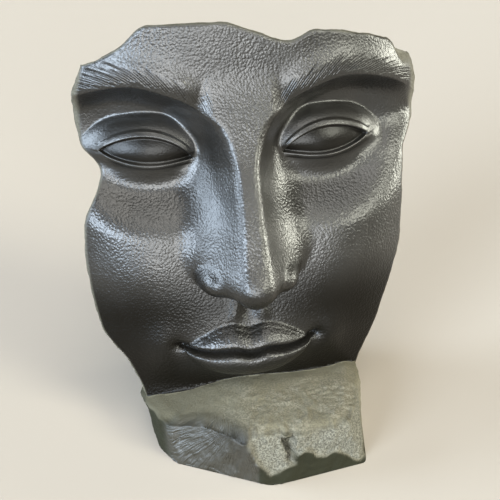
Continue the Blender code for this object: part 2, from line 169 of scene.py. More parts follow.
def through(stations, at):
    """A smooth curve through (place, value) stations, without overshoot and level past both ends."""
    place, value = np.array(stations, float).T
    step = np.diff(place)
    rise = np.diff(value) / step
    slope = np.zeros(len(place))
    for i in range(1, len(place) - 1):
        if rise[i - 1] * rise[i] > 0:
            before, after = step[i - 1] + 2 * step[i], 2 * step[i - 1] + step[i]
            slope[i] = (before + after) / (before / rise[i - 1] + after / rise[i])
    at = np.clip(at, place[0], place[-1])
    i = np.clip(np.searchsorted(place, at) - 1, 0, len(place) - 2)
    t = (at - place[i]) / step[i]
    start = (1 + 2 * t) * (1 - t) ** 2 * value[i] + t * (1 - t) ** 2 * step[i] * slope[i]
    end = t * t * (3 - 2 * t) * value[i + 1] + t * t * (t - 1) * step[i] * slope[i + 1]
    return start + end


def brow_line(s):
    return through(
        [(0, 1.50), (0.05, 1.62), (0.08, 1.74), (0.125, 1.84), (0.20, 1.92), (0.34, 2.00), (0.56, 2.06),
         (0.80, 2.02), (1.0, 1.91), (1.15, 1.80)], s)


def corner_line(s):
    """Through both corners of the eye, the outer one a little higher."""
    return 1.685 + 0.028 * (s - EYE_X) / EYE_HALF


def lid_arch(s, peak, fullness):
    """1 at the peak of a lid's margin and 0 at the corners of the eye."""
    t = np.clip((s - EYE_X) / EYE_HALF, -1, 1)
    t = t - peak * (1 - t * t)
    return np.clip(1 - t**2, 0, 1) ** fullness


def upper_margin(s):
    return corner_line(s) + 0.100 * lid_arch(s, -0.08, 0.85)


def lower_margin(s):
    return corner_line(s) - 0.050 * lid_arch(s, 0.15, 1.0)


def nose_base(s):
    return through([(0, 0.972), (0.05, 0.982), (0.11, 1.012), (0.17, 0.985), (0.22, 0.99), (0.29, 1.03)], s)


def upper_lip_line(s):
    return through(
        [(0, 0.776), (0.075, 0.797), (0.14, 0.787), (0.25, 0.735), (0.345, 0.682), (0.40, 0.692)], s)


def mouth_line(s):
    return through([(0, 0.652), (0.09, 0.668), (0.20, 0.660), (0.34, 0.678), (0.42, 0.695)], s)


def lower_lip_line(s):
    return 0.680 - 0.200 * np.clip(1 - (s / MOUTH_HALF) ** 2, 0, 1) ** 0.62


def head_form(s, z):
    """The plain mask of the head, without features."""
    middle = through(
        [(-0.2, 1.20), (0.15, 1.28), (0.42, 1.25), (0.72, 1.295), (1.05, 1.295), (1.45, 1.27),
         (1.78, 1.285), (2.08, 1.345), (2.40, 1.35), (2.75, 1.29), (3.0, 1.20)], z)
    half = through(
        [(0, 0.90), (0.42, 1.18), (0.70, 1.20), (1.0, 1.24), (1.5, 1.29), (2.0, 1.27), (3.0, 1.12)], z)
    bend = 2.65
    return middle * np.clip(1 - (s / half) ** bend, 0.02, 1) ** (1 / bend)


def cheeks_and_sockets(s, z):
    f = head_form(s, z)
    f += 0.080 * swell(np.hypot(s / 0.40, (z - 0.70) / 0.33))
    f += 0.085 * swell(np.hypot((s - 0.58) / 0.38, (z - 1.16) / 0.44))
    f += 0.035 * swell(np.hypot((s - 0.80) / 0.26, (z - 1.44) / 0.20))
    under_brow = 1 - (1 - np.clip((brow_line(s) - z) / 0.13, 0, 1)) ** 2.2
    sideways = (s - EYE_X) / 0.62 * ease(1.95, 1.60, z)
    above_cheek = ease(1.0, 0.25, np.hypot(sideways, (np.minimum(z, 1.76) - 1.76) / 0.50))
    beside_nose = 0.45 + 0.55 * ease(0.12, 0.34, s)
    outwards = 1 - 0.75 * ease(0.62, 1.05, s)
    f -= 0.185 * under_brow * above_cheek * beside_nose * outwards
    f += 0.022 * swell((z - brow_line(s) - 0.06) / 0.08) * ease(0.1, 0.3, s)
    return f


def eye_mass(s, z):
    """The ball of the eye under its lids, as one almond swelling set in the socket."""
    across = (s - EYE_X) / 0.335
    up = (z - 1.690) / np.where(z > 1.690, 0.212, 0.250)
    r = across**2 + up**2
    middle = head_form(np.full_like(s, EYE_X), np.full_like(s, EYE_Z))
    fullness = 0.55 + 0.75 * ease(1.70, 1.60, z)
    rise = np.clip(1 - r, 0, 1) ** fullness - 2 * np.clip(r - 1, 0, 1)
    return middle - 0.205 - 0.17 * (s - EYE_X) + 0.165 * rise


def lid_relief(s, z):
    """The ball lies deeper than the lids, and each lid has a raised rim along its margin."""
    above, below = z - upper_margin(s), lower_margin(s) - z
    between = ease(0, 0.014, -above) * ease(0, 0.012, -below)
    ball = 0.034 - 0.012 * swell((s - EYE_X) / 0.15) * swell((z - EYE_Z) / 0.08)
    t = (s - EYE_X) / EYE_HALF
    upper_rim = ease(0.036, 0.028, above) * ease(-0.004, 0.004, above)
    upper_rim *= ease(-1.02, -0.80, t) * ease(1.25, 0.85, t)
    lower_rim = ease(0.022, 0.016, below) * ease(-0.004, 0.004, below) * ease(1.0, 0.80, np.abs(t))
    return 0.010 * upper_rim + 0.007 * lower_rim - ball * between


def nose_planes(s, z):
    """The flat ridge, flaring into the brow arcs, and the plane side that slopes from it to the cheek."""
    ridge = through(
        [(0.96, 1.58), (1.12, 1.69), (1.30, 1.625), (1.55, 1.515), (1.74, 1.435), (1.86, 1.400),
         (1.98, 1.365), (2.12, 1.30), (2.4, 1.1)], z)
    half = through(
        [(1.05, 0.080), (1.22, 0.064), (1.45, 0.052), (1.60, 0.052), (1.74, 0.075), (1.84, 0.115),
         (1.92, 0.17)], z)
    steep = through([(1.0, 1.7), (1.3, 1.75), (1.5, 2.2), (1.7, 2.1), (1.86, 1.5)], z)
    return soft_min(ridge - 0.25 * s * s, ridge - steep * (s - half), 0.045)


def nose_tip(s, z):
    r = np.hypot(s / 0.140, (z - 1.108) / 0.150)
    return 1.705 - 0.150 * r**2


def nose_wing(s, z):
    r = np.hypot((s - 0.158) / 0.130, (z - 1.088) / 0.140)
    return 1.550 - 0.300 * r**2.4


def lips_relief(s, z):
    middle, top, bottom = mouth_line(s), upper_lip_line(s), lower_lip_line(s)
    narrowing = np.clip(1 - (s / MOUTH_HALF) ** 2, 0, 1)
    up = np.clip((z - middle) / np.maximum(top - middle, 1e-3), 0, 1)
    down = np.clip((middle - z) / np.maximum(middle - bottom, 1e-3), 0, 1)
    upper = 0.080 * narrowing**0.45 * np.clip(1 - up**1.8, 0, 1) ** 0.8
    lower = 0.105 * narrowing**0.5 * np.sqrt(np.clip(1 - 0.92 * (2.1 * down**0.85 - 1) ** 2, 0, 1))
    edge = 0.004
    relief = upper * ease(-edge, edge, z - middle) * ease(-edge, edge, top - z)
    relief += lower * ease(-edge, edge, middle - z) * ease(-edge, edge, z - bottom)
    rim = ease(0.016, 0.010, z - bottom) * ease(-edge, edge, z - bottom)
    relief += 0.010 * rim * narrowing**0.3
    rim = ease(0.014, 0.008, top - z) * ease(-edge, edge, top - z)
    relief += 0.007 * rim * narrowing**0.3
    relief -= 0.050 * swell((z - middle) / 0.016) * ease(0.40, 0.33, s)
    relief -= 0.022 * swell(np.hypot((s - 0.375) / 0.045, (z - 0.684) / 0.040))
    relief += 0.020 * swell(np.hypot((s - 0.46) / 0.08, (z - 0.69) / 0.12))
    relief -= 0.060 * swell(np.hypot(s / 0.30, (z - 0.42) / 0.06))
    return relief


def philtrum_relief(s, z):
    rows = ease(0.78, 0.86, z) * ease(1.0, 0.93, z)
    apart = 0.050 + 0.028 * ease(0.98, 0.80, z)
    return rows * (0.012 * swell((s - apart) / 0.032) - 0.014 * swell(s / 0.04))


def face_depth(s, z):
    blend = 0.016 + 0.100 * ease(1.72, 1.58, z) + 0.04 * ease(0.60, 0.78, s) * ease(1.85, 1.72, z)
    blend += 0.05 * ease(0.26, 0.16, s)
    skin = soft_max(cheeks_and_sockets(s, z), eye_mass(s, z), blend) + lid_relief(s, z)
    nose = soft_max(skin, nose_planes(s, z), 0.06 + 0.16 * ease(1.65, 1.35, z) * ease(1.05, 1.25, z))
    nose = soft_max(nose, nose_tip(s, z), 0.06)
    nose = soft_max(nose, nose_wing(s, z), 0.035)
    cut = ease(nose_base(s), nose_base(s) + 0.035, z)
    return skin + (nose - skin) * cut + philtrum_relief(s, z) + lips_relief(s, z)


# The brow hairs: slanting cuts above each brow line, made one by one with a fine riffler, so that
# no two are as long or as deep. They start at the inner end of the brow and lie flatter outwards.

STROKE_GAP = 0.018
STROKE_WIDTH = 0.0030
STROKE_DEPTH = 0.0048
STROKE_COUNT = 140
STROKE_ROOM = 0.150  # height of the band above the brow line that the strokes keep to
stroke_chance = np.random.default_rng(5).random((2 * STROKE_COUNT, 3))


def brow_strokes(x, z):
    s = np.abs(x)
    above = z - brow_line(s)
    slant = through([(0.12, 0.8), (0.50, 1.25), (0.95, 1.9)], s)
    across = (s - slant * above) / STROKE_GAP
    number = np.floor(across)
    offset = (across - number - 0.5) * STROKE_GAP / np.hypot(1, slant)
    chance = stroke_chance[(number % STROKE_COUNT + STROKE_COUNT * (x > 0)).astype(int)]
    start = 0.002 + 0.030 * chance[..., 0]
    end = start + 0.055 + 0.060 * chance[..., 1]
    along = ease(start, start + 0.012, above) * ease(end, end - 0.030, above)
    return (0.35 + 0.65 * chance[..., 2]) * swell(offset / STROKE_WIDTH) * along * ease(0.11, 0.18, s)


# The break: the head was broken off all round, leaving the face from the forehead down to the
# lower lip. The broken sides are rough, draw in a little and end in a broken back.

RIM_WIDTH = 0.014
CORNER_WIDTH = 0.090
LEFT_SHARE = 0.42
RIM_SLOPE = 0.9
RIM_ROUGHNESS = 0.0008
TOP_Z = 2.40
TOP_DROP = 0.30
EMBED = 0.026
BACK_Y = 0.135
DRAWN_IN = 0.16
BREAK_DEPTH = 0.0025
NOISE_SEED = 11
FOOT_Z = LEDGE_Z - EMBED / THIRD


def left_edge(z):
    return through(
        [(0.30, -0.55), (0.56, -0.63), (0.78, -0.765), (1.20, -0.817), (1.34, -0.81), (1.60, -0.705),
         (1.75, -0.80), (2.0, -0.825), (2.18, -0.765)], z)


def right_edge(z):
    return through(
        [(0.30, 0.62), (0.70, 0.765), (1.17, 0.908), (1.45, 0.914), (1.60, 0.93), (1.80, 1.034),
         (1.97, 1.03), (2.09, 0.985), (2.17, 0.90)], z)


def top_edge(x):
    return through(
        [(-0.80, 2.16), (-0.60, 2.235), (-0.44, 2.35), (-0.10, 2.355), (0.06, 2.31), (0.25, 2.248),
         (0.38, 2.295), (0.60, 2.265), (0.80, 2.212), (0.90, 2.118)], x)


def edge_distance(x, z):
    """How far a point of the face lies inside the break, in thirds."""
    return np.minimum(np.minimum(x - left_edge(z), right_edge(z) - x), top_edge(x) - z)


def rim_width(x, z):
    right_corner = swell(np.hypot((x - 1.0) / 0.16, (z - 1.98) / 0.20))
    left_corner = swell(np.hypot((x + 0.85) / 0.12, (z - 1.95) / 0.18))
    return RIM_WIDTH + (CORNER_WIDTH - RIM_WIDTH) * (right_corner + LEFT_SHARE * left_corner)


def column_x(u, z):
    """Sideways place of a column, u from 0 at the left break to 1 at the right."""
    left, right = left_edge(z), right_edge(z)
    # Columns are spread over the jaw's plain outline, so that the steps of the break fade inwards
    jaw = through([(0.3, 0.57), (2.0, 0.89)], z)
    x = jaw * (2 * u - 1)
    return x + (left + jaw) * (1 - u) ** 3 + (right - jaw) * u**3


def around_eye(s):
    return np.clip(1 - ((s - EYE_X) / 0.40) ** 2, 0, 1)


ROW_GAP = 0.012
ROWS = (12, 6, 20, 16, 22, 26, 44, 12, 14, 14, 14, 32)
COLUMNS = 184
GUIDES = (  # a line of the face, the even height it settles to, and the stretch where it keeps its shape
    (lambda s: 0 * s + FOOT_Z, FOOT_Z, -1, 2),
    (lambda s: np.minimum(lower_lip_line(s), mouth_line(s) - 0.045), 0.53, -1, 0.42),
    (lambda s: np.minimum(lower_lip_line(s) + 0.018, mouth_line(s) - 0.03), 0.56, -1, 0.42),
    (mouth_line, 0.66, -1, 0.42),
    (lambda s: np.maximum(upper_lip_line(s), mouth_line(s) + 0.02), 0.76, -1, 0.42),
    (nose_base, 0.98, -1, 0.30),
    (lambda s: nose_base(s) + 0.035, 1.06, -1, 0.30),
    (lambda s: 1.650 - 0.120 * around_eye(s), 1.53, 0.02, 0.76),
    (lower_margin, 1.64, 0.02, 0.76),
    (lambda s: np.maximum(upper_margin(s), lower_margin(s) + 0.014), 1.76, 0.02, 0.76),
    (lambda s: 1.725 + 0.180 * around_eye(s), 1.86, 0.02, 0.76),
    (brow_line, 1.97, 0.02, 0.90),
)


def front_plan(u, row):
    """Sideways place and height on the face for a column share and a row, along the lines of the features."""
    heights = []
    for line, even, inner, outer in GUIDES:
        z = np.full_like(u, even)
        for _ in range(3):
            s = np.abs(column_x(u, z))
            z = even + (line(s) - even) * ease(inner, inner + 0.14, s) * ease(outer + 0.17, outer, s)
        if heights:
            z = np.maximum(z, heights[-1] + ROW_GAP)
        heights.append(z)
    heights.append(top_edge(column_x(u, np.full_like(u, TOP_Z))))
    heights = np.array(heights)
    starts = np.concatenate([[0], np.cumsum(ROWS)])
    band = np.clip(np.searchsorted(starts, row, side="right") - 1, 0, len(ROWS) - 1)
    t = (row - starts[band]) / np.array(ROWS)[band]
    column = np.arange(len(u))
    low, high = heights[band, column], heights[band + 1, column]
    z = low + (high - low) * t
    return column_x(u, z), z


def place(x, f, z):
    """World points of places given in thirds."""
    forward, up = (f - LIP_FRONT) * THIRD, (z - LEDGE_Z) * THIRD
    cos, sin = np.cos(LEAN_BACK), np.sin(LEAN_BACK)
    return np.stack([x * THIRD, up * sin - forward * cos, STUMP_HEIGHT + up * cos + forward * sin], axis=-1)


def roughened(points, amount, size):
    """Points moved by fractal noise, as on a broken face of the casting."""
    noise.seed_set(NOISE_SEED)
    moved = [noise.turbulence_vector(Vector(p) / size, 3, False, amplitude_scale=0.5) for p in points]
    return points + np.array(moved) * np.reshape(amount, (-1, 1))


def front_points(u, row):
    x, z = front_plan(u, row)
    s = np.abs(x)
    f = face_depth(s, z)
    width = rim_width(x, z)
    worn = np.clip(1 - edge_distance(x, z) / width, 0, 1)
    f -= RIM_SLOPE * width * worn**1.8
    f -= STROKE_DEPTH * brow_strokes(x, z)
    # The tip and the wings hang a little, so that the underside of the nose lies level
    proud = np.clip(f - cheeks_and_sockets(s, z), 0, 0.45)
    droop = 0.10 * proud * ease(1.45, 1.15, z) * ease(0.93, 0.99, z)
    nostril = swell(np.hypot((s - 0.092) / 0.040, (z - nose_base(s) - 0.016) / 0.014))
    # The wings are rounder than their own outline
    wing = swell(np.hypot((s - 0.22) / 0.05, (z - 1.07) / 0.08)) * (proud > 0.02)
    x = x + np.sign(x) * 0.015 * wing
    return place(x, f - 0.02 * nostril, z - droop + 0.045 * nostril), worn


def even_columns(share):
    """Column shares moved so that steep flanks, such as the nose's, get as many columns as level skin."""
    fine_u, fine_v = np.linspace(0, 1, 361), np.linspace(0, 1, 241)
    v, u = (g.ravel() for g in np.meshgrid(fine_v, fine_u, indexing="ij"))
    points = front_points(u, v * sum(ROWS))[0].reshape(len(fine_v), len(fine_u), 3)
    length = np.linalg.norm(np.diff(points, axis=1), axis=2).cumsum(axis=1)
    spread = np.pad(length / length[:, -1:], ((0, 0), (1, 0)))
    spread = 0.5 * spread + 0.5 * fine_u
    table = np.array([np.interp(fine_u, row, fine_u) for row in spread])
    weights = swell(np.arange(-12, 13) / 6.0)
    padded = np.pad(table, ((12, 12), (0, 0)), mode="edge")
    table = sum(w * padded[i : i + len(table)] for i, w in enumerate(weights)) / weights.sum()
    at_u, at_v = share[:, 0] * (len(fine_u) - 1), share[:, 1] * (len(fine_v) - 1)
    i, j = (np.minimum(a.astype(int), n - 2) for a, n in ((at_u, len(fine_u)), (at_v, len(fine_v))))
    a, b = at_u - i, at_v - j
    low = table[j, i] * (1 - a) + table[j, i + 1] * a
    high = table[j + 1, i] * (1 - a) + table[j + 1, i + 1] * a
    return low * (1 - b) + high * b


def wall_points(u, v, w):
    """Points from the rim (w = 0) to the back (w = 1), drawn in and dropping towards the back."""
    top = top_edge(column_x(u, np.full_like(u, TOP_Z)))
    z = FOOT_Z + (top - FOOT_Z) * v
    x = column_x(u, z)
    rim = place(x, face_depth(np.abs(x), z) - RIM_SLOPE * rim_width(x, z), z)
    back = place(x * (1 - DRAWN_IN), LIP_FRONT, z - TOP_DROP * ease(1.0, TOP_Z, z))
    back[:, 1] = BACK_Y
    points = roughened(rim + (back - rim) * w[:, None], BREAK_DEPTH * ease(-0.2, 0.3, w), 0.020)
    return roughened(points, 0.0006 * ease(0, 0.1, w), 0.004)


def sheet_of_cells(across, up):
    """A flat sheet of cells, with its corners at 0 and 1."""
    bm = bmesh.new()
    bmesh.ops.create_grid(bm, x_segments=across, y_segments=up, size=0.5)
    bmesh.ops.translate(bm, verts=bm.verts, vec=(0.5, 0.5, 0))
    return bm


def make_finer(bm, faces, cuts):
    edges = list({edge for face in faces for edge in face.edges})
    bmesh.ops.subdivide_edges(bm, edges=edges, cuts=cuts, use_grid_fill=True)


def set_points(verts, points):
    for vert, point in zip(verts, points):
        vert.co = point


def extrude_rim(bm, rim):
    """Extrude the open edges once: the new vertices and the new open edges."""
    made = bmesh.ops.extrude_edge_only(bm, edges=rim)["geom"]
    rim = [g for g in made if isinstance(g, bmesh.types.BMEdge) and g.is_boundary]
    return [g for g in made if isinstance(g, bmesh.types.BMVert)], rim


BACK_CELLS = 56
WALL_ROWS = 18

bm = sheet_of_cells(COLUMNS, sum(ROWS))
share = np.array([face.calc_center_median()[:2] for face in bm.faces])
x, z = front_plan(even_columns(share), share[:, 1] * sum(ROWS))
s = np.abs(x)
above_brow = z - brow_line(s)
stroked = (above_brow > -0.004) & (above_brow < STROKE_ROOM) & (s > 0.12)
lidded = (np.abs(s - EYE_X) < EYE_HALF + 0.02) & (z > lower_margin(s) - 0.04) & (z < upper_margin(s) + 0.05)
faces = list(bm.faces)
make_finer(bm, [face for face, fine in zip(faces, lidded & ~stroked) if fine], 1)
make_finer(bm, [face for face, fine in zip(faces, stroked) if fine and face.is_valid], 2)

front = list(bm.verts)
share = np.array([vert.co[:2] for vert in front])
points, worn = front_points(even_columns(share), share[:, 1] * sum(ROWS))
set_points(front, roughened(points, RIM_ROUGHNESS * worn, 0.012))
front_rim = [edge for edge in bm.edges if edge.is_boundary]

u, v, w = (bm.verts.layers.float.new(name) for name in "uvw")
walls = list(bmesh.ops.create_grid(bm, x_segments=BACK_CELLS, y_segments=BACK_CELLS, size=0.5)["verts"])
for vert in walls:
    vert[u], vert[v], vert[w] = vert.co.x + 0.5, vert.co.y + 0.5, 1.0
known = set(front_rim)
rim = [edge for edge in bm.edges if edge.is_boundary and edge not in known]
for step in range(1, WALL_ROWS):
    made, rim = extrude_rim(bm, rim)
    for vert in made:
        vert[w] = 1 - step / WALL_ROWS
    walls += made
where = np.array([(vert[u], vert[v], vert[w]) for vert in walls])
set_points(walls, wall_points(*where.T))
bmesh.ops.bridge_loops(bm, edges=front_rim + rim)
bmesh.ops.recalc_face_normals(bm, faces=bm.faces)


def object_from(bm, name):
    mesh = bpy.data.meshes.new(name)
    bm.to_mesh(mesh)
    bm.free()
    obj = bpy.data.objects.new(name, mesh)
    bpy.context.scene.collection.objects.link(obj)
    return obj


casting = object_from(bm, "face_casting")


# The stump: a low block of rock under the lips, left as it was split, with flat facets, a flake and
# a rough band broken away under the ledge, and a narrow crack between them. Metres, and degrees from
# the front.

STUMP_AXIS = (0.005, 0.025)
STUMP_BACK = 0.006
LEDGE_DROP = 0.25
STUMP_CELLS = 54
STUMP_ROWS = 20
FACETS = (  # angle, distance from the axis at half height, and how far it leans out towards the floor
    (-140, 0.138, 0), (-104, 0.1075, -0.04), (-88, 0.1027, -0.17), (-63, 0.102, -0.02), (-1, 0.1097, -0.04),
    (11, 0.110, -0.08), (55, 0.1244, 0.236), (79, 0.1095, 0.10), (102, 0.1145, 0), (140, 0.140, 0),
    (180, BACK_Y + STUMP_BACK - STUMP_AXIS[1], 0),
)
HOLLOW_ANGLE = -30  # a scooped facet, which leans back at its left end and overhangs at its right end
HOLLOW_DISTANCE = 0.094


def along_facet(away, facet, angle):
    """Distance from the axis, at an angle, of a plane that is this far away from it."""
    facing = np.cos(np.radians(angle - facet))
    return np.where(facing > 0.2, away / np.maximum(facing, 0.2), 1.0)


def facets_reach(angle, height):
    """Distance from the axis to the nearest facet, with the ridges between facets rounded."""
    reach = np.full_like(angle, 1.0)
    for facet, distance, lean in FACETS:
        away = distance + lean * (STUMP_HEIGHT / 2 - height)
        reach = soft_min(reach, along_facet(away, facet, angle), 0.004)
    flare = through(
        [(-64, 0), (-50, -0.006), (-33, -0.0035), (-25, 0.002), (-19, 0.007), (-11, 0.0136), (0, 0.018)],
        angle)
    away = HOLLOW_DISTANCE + flare * height / STUMP_HEIGHT
    return soft_min(reach, along_facet(away, HOLLOW_ANGLE, angle), 0.003)


def flake_area(angle, height):
    """Where a flake was split off in front, from the ledge down to a point."""
    left = through([(0.008, -1), (0.030, -8), (STUMP_HEIGHT, -12)], height)
    right = through([(0.020, 12), (STUMP_HEIGHT, 6.5)], height)
    low = through([(-2, 0.009), (12, 0.020)], angle)
    inside = ease(left, left + 2, angle) * ease(right + 1, right, angle)
    return inside * ease(low - 0.002, low + 0.003, height)


def crack_area(angle, height):
    left = through([(0.020, 9.5), (STUMP_HEIGHT, 6.5)], height)
    return ease(left - 0.5, left + 1, angle) * ease(12.5, 11.5, angle) * ease(0.018, 0.026, height)


def band_area(angle, height):
    """The rough band under the ledge, down to the ragged border of the smooth facet below it."""
    border = through(
        [(12, 0.031), (16, 0.0345), (21, 0.030), (23.5, 0.0235), (28.5, 0.0205), (32, 0.023),
         (38, 0.0155), (46, 0.001)], angle)
    return ease(border - 0.001, border + 0.002, height) * ease(10, 12, angle) * ease(78, 62, angle)


def chips(angle, height):
    """How deep the stump's front was broken away under the ledge."""
    flake = (0.001 + 0.009 * ease(0, STUMP_HEIGHT, height)) * flake_area(angle, height)
    crack = (0.006 + 0.008 * ease(STUMP_HEIGHT, 0.042, height)) * crack_area(angle, height)
    return flake + crack + 0.0035 * band_area(angle, height)


def ledge_share(x):
    """Height of the ledge at a sideways place, as a share of its height in front of the lips."""
    return 1 - LEDGE_DROP * ease(0.0, -0.10, x)


def stump_points(u, v, down):
    """Points of the ledge (down = 0) and of the sides (down = 1 at the floor), from a square's cells."""
    across, back = 2 * u - 1, 2 * v - 1
    ring = np.maximum(np.abs(across), np.abs(back))
    angle = np.degrees(np.arctan2(across, -back))
    height = STUMP_HEIGHT * (1 - down)
    broken = sum(area(angle, height) for area in (flake_area, band_area, crack_area))
    reach = facets_reach(angle, height) - chips(angle, height)
    edge = ease(0.86, 1.0, ring) * ease(0.25, 0.0, down)
    turn = np.radians(angle)
    x = STUMP_AXIS[0] + np.sin(turn) * reach * ring
    y = STUMP_AXIS[1] - np.cos(turn) * reach * ring
    points = np.stack([x, y, (height - 0.004 * edge) * ledge_share(x)], axis=-1)
    above_floor = down < 1
    rough = BREAK_DEPTH * (0.4 + 0.6 * ease(0.9, 1.0, ring)) * above_floor
    points = roughened(points, rough, 0.018)
    return roughened(points, 0.0009 * np.clip(broken, 0, 1) * above_floor, 0.005)


bm = sheet_of_cells(STUMP_CELLS, STUMP_CELLS)
layers = u, v, down = [bm.verts.layers.float.new(name) for name in ("u", "v", "down")]
for vert in bm.verts:
    vert[u], vert[v] = vert.co.x, vert.co.y
rim = [edge for edge in bm.edges if edge.is_boundary]
for step in range(1, STUMP_ROWS + 1):
    made, rim = extrude_rim(bm, rim)
    for vert in made:
        vert[down] = step / STUMP_ROWS
bmesh.ops.holes_fill(bm, edges=rim)
in_front = [face for face in bm.faces if len(face.verts) == 4 and max(vert[v] for vert in face.verts) < 0.3]
make_finer(bm, in_front, 1)
where = np.array([[vert[layer] for layer in layers] for vert in bm.verts])
set_points(bm.verts, stump_points(*where.T))
bmesh.ops.recalc_face_normals(bm, faces=bm.faces)
stump = object_from(bm, "stump")


# Face and stump are one casting, so they are united and stood over the middle of the frame.

for part, of_stump in ((casting, 0.0), (stump, 1.0)):
    layer = part.data.attributes.new("stump", "FLOAT", "FACE")
    layer.data.foreach_set("value", np.full(len(part.data.polygons), of_stump, np.float32))

union = casting.modifiers.new("union", "BOOLEAN")
union.operation, union.solver, union.object = "UNION", "EXACT", stump
whole = casting.evaluated_get(bpy.context.evaluated_depsgraph_get())
casting.data = bpy.data.meshes.new_from_object(whole)
casting.modifiers.clear()
bpy.data.objects.remove(stump)

points = np.array([vert.co for vert in casting.data.vertices], dtype=float)
middle = (points.min(0) + points.max(0)) / 2
middle[2] = 0
inside = np.clip(points - middle, *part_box("face_fragment"))
casting.data.vertices.foreach_set("co", inside.astype(np.float32).ravel())
casting.data.update()
casting.data.shade_smooth()


# What takes the finish differently: each point of the mesh says whether it is broken, freshly split
# or dark, lies in the scooped facet or under painted shade on the ledge, at the left and as a painted
# shadow along the lips, is dull skin (painted darker as shade on the lower face) or smooth skin, or is
# cut by a brow stroke. Shade bounds in metres, angles in degrees from the front.

SCOOP_RIGHT, SCOOP_LEFT = (-5, -7), (-67, -54)
DARK_LEFT, DARK_RIGHT = (-125, -100), (70, 50)
# Bounds of the painted shade at the left of the ledge, then the strength and width of the painted shadow
# along the lips
SHADE_SIDEWAYS, SHADE_BACK = (0.010, -0.085), (0.105, 0.060)
LIP_SHADOW, LIP_SHADOW_WIDTH = 0.8, 0.08

forward = (points[:, 2] - STUMP_HEIGHT) * np.sin(LEAN_BACK) - points[:, 1] * np.cos(LEAN_BACK)
up = (points[:, 2] - STUMP_HEIGHT) * np.cos(LEAN_BACK) + points[:, 1] * np.sin(LEAN_BACK)
x, f, z = points[:, 0] / THIRD, forward / THIRD + LIP_FRONT, up / THIRD + LEDGE_Z
s = np.abs(x)
edge, width = edge_distance(x, z), rim_width(x, z)
behind = face_depth(s, z) - RIM_SLOPE * width - f
broken = ease(0.002, 0.012, behind) * ease(0.22, 0.16, edge)
broken = np.maximum(broken, ease(0.20, 0.30, head_form(s, z) - f))
broken = np.maximum(broken, ease(0.010, 0.002, edge))
wide_rim = ease(1.3 * RIM_WIDTH, 1.9 * RIM_WIDTH, width) * ease(1.1, 0.2, edge / width)
broken = np.maximum(broken, wide_rim)
ledge = STUMP_HEIGHT * ledge_share(points[:, 0])
across, back = points[:, 0] - STUMP_AXIS[0], points[:, 1] - STUMP_AXIS[1]
angle = np.degrees(np.arctan2(across, -back))
below_ledge = ease(ledge - 0.002, ledge - 0.006, points[:, 2])
split = [area(angle, points[:, 2]) for area in (flake_area, band_area)]
fresh = np.clip(below_ledge * sum(split) + 0.6 * wide_rim * (x > 0), 0, 1)
outwards = np.hypot(across, back) / facets_reach(angle, points[:, 2])
leftwards = ease(*SCOOP_RIGHT, angle) * ease(*SCOOP_LEFT, angle)
dark = leftwards * ease(0.72, 1.0, outwards) + (1 - leftwards) * below_ledge
dark *= ease(*DARK_LEFT, angle) * ease(*DARK_RIGHT, angle) * (1 - fresh)
# Painted shade: the stump's colour is darkened towards the left end of the ledge, fading out towards the back
painted_shade = ease(*SHADE_SIDEWAYS, points[:, 0]) * ease(*SHADE_BACK, points[:, 1])
# A painted shadow: a dark band on the stump along the foot of the face, under the lips
painted_shade = np.maximum(painted_shade, LIP_SHADOW * swell((f - face_depth(s, z)) / LIP_SHADOW_WIDTH))
near_lips = swell(np.hypot(s / 0.42, (z - 0.66) / 0.20))
inner = ease(0, 0.02, upper_margin(s) - z) * ease(0, 0.02, z - lower_margin(s))
# Painted shade: the lower face, away from the lips, is darker and duller; inside the eyes the skin is less
# rubbed
dull_and_shaded = np.maximum(ease(1.20, 0.80, z) * (1 - near_lips), 0.75 * inner)
around = swell(np.hypot((s - EYE_X) / 0.36, (z - 1.74) / 0.22) ** 2)
for name, values in (
    ("broken", broken),
    ("fresh", fresh),
    ("dark", dark),
    ("leftwards", leftwards),
    ("painted_shade", painted_shade),
    ("dull_and_shaded", dull_and_shaded),
    ("smooth", np.maximum(around, 0.5 * swell((z - brow_line(s) - 0.07) / 0.09))),
    ("cut", np.clip(1.6 * brow_strokes(x, z), 0, 1)),
):
    layer = casting.data.attributes.new(name, "FLOAT", "POINT")
    layer.data.foreach_set("value", values.astype(np.float32))


# The finish: cast resin with iron powder, rubbed to a gunmetal shine on the skin and left matt and
# grey-green on the stump and the breaks. The whole skin is pebbled as by a small round punch.

SKIN_SHADES = (0.0050, 0.0045, 0.0035), (0.0080, 0.0070, 0.0055)
# A darker, browner skin: painted shade on the lower face, and less rubbed skin inside the eyes
SHADED_DULL_SKIN = (0.0028, 0.0022, 0.0013)
BREAK_SHADES = (0.080, 0.074, 0.054), (0.110, 0.103, 0.079)
BREAK_SAND = (0.065, 0.060, 0.043)
STUMP_SHADES = (0.140, 0.127, 0.088), (0.190, 0.176, 0.134)
STUMP_SAND = (0.105, 0.096, 0.068)
# The colour of the painted shade at the left of the ledge and of the painted shadow along the lips
PAINTED_SHADE_COLOUR = (0.078, 0.072, 0.050)
SPLIT_SHADES = (0.062, 0.059, 0.046), (0.160, 0.154, 0.124)
DARK_SHADES = (0.018, 0.018, 0.011), (0.020, 0.018, 0.012)
PEBBLE_SIZE = 0.0022
PEBBLE_HEIGHT, SAND_HEIGHT, RAW_HEIGHT, STRAND_HEIGHT = -0.75, 0.35, 1.4, 4.0
FAN_CENTRE = (-0.043, 0.062)  # sideways place and height
FAN_TURN, FAN_RADIUS = 16.0, 25.0
RELIEF_DEPTH = 0.0005

finish = bpy.data.materials.new("gunmetal_casting")
finish.use_nodes = True
tree = finish.node_tree
shader = tree.nodes["Principled BSDF"]


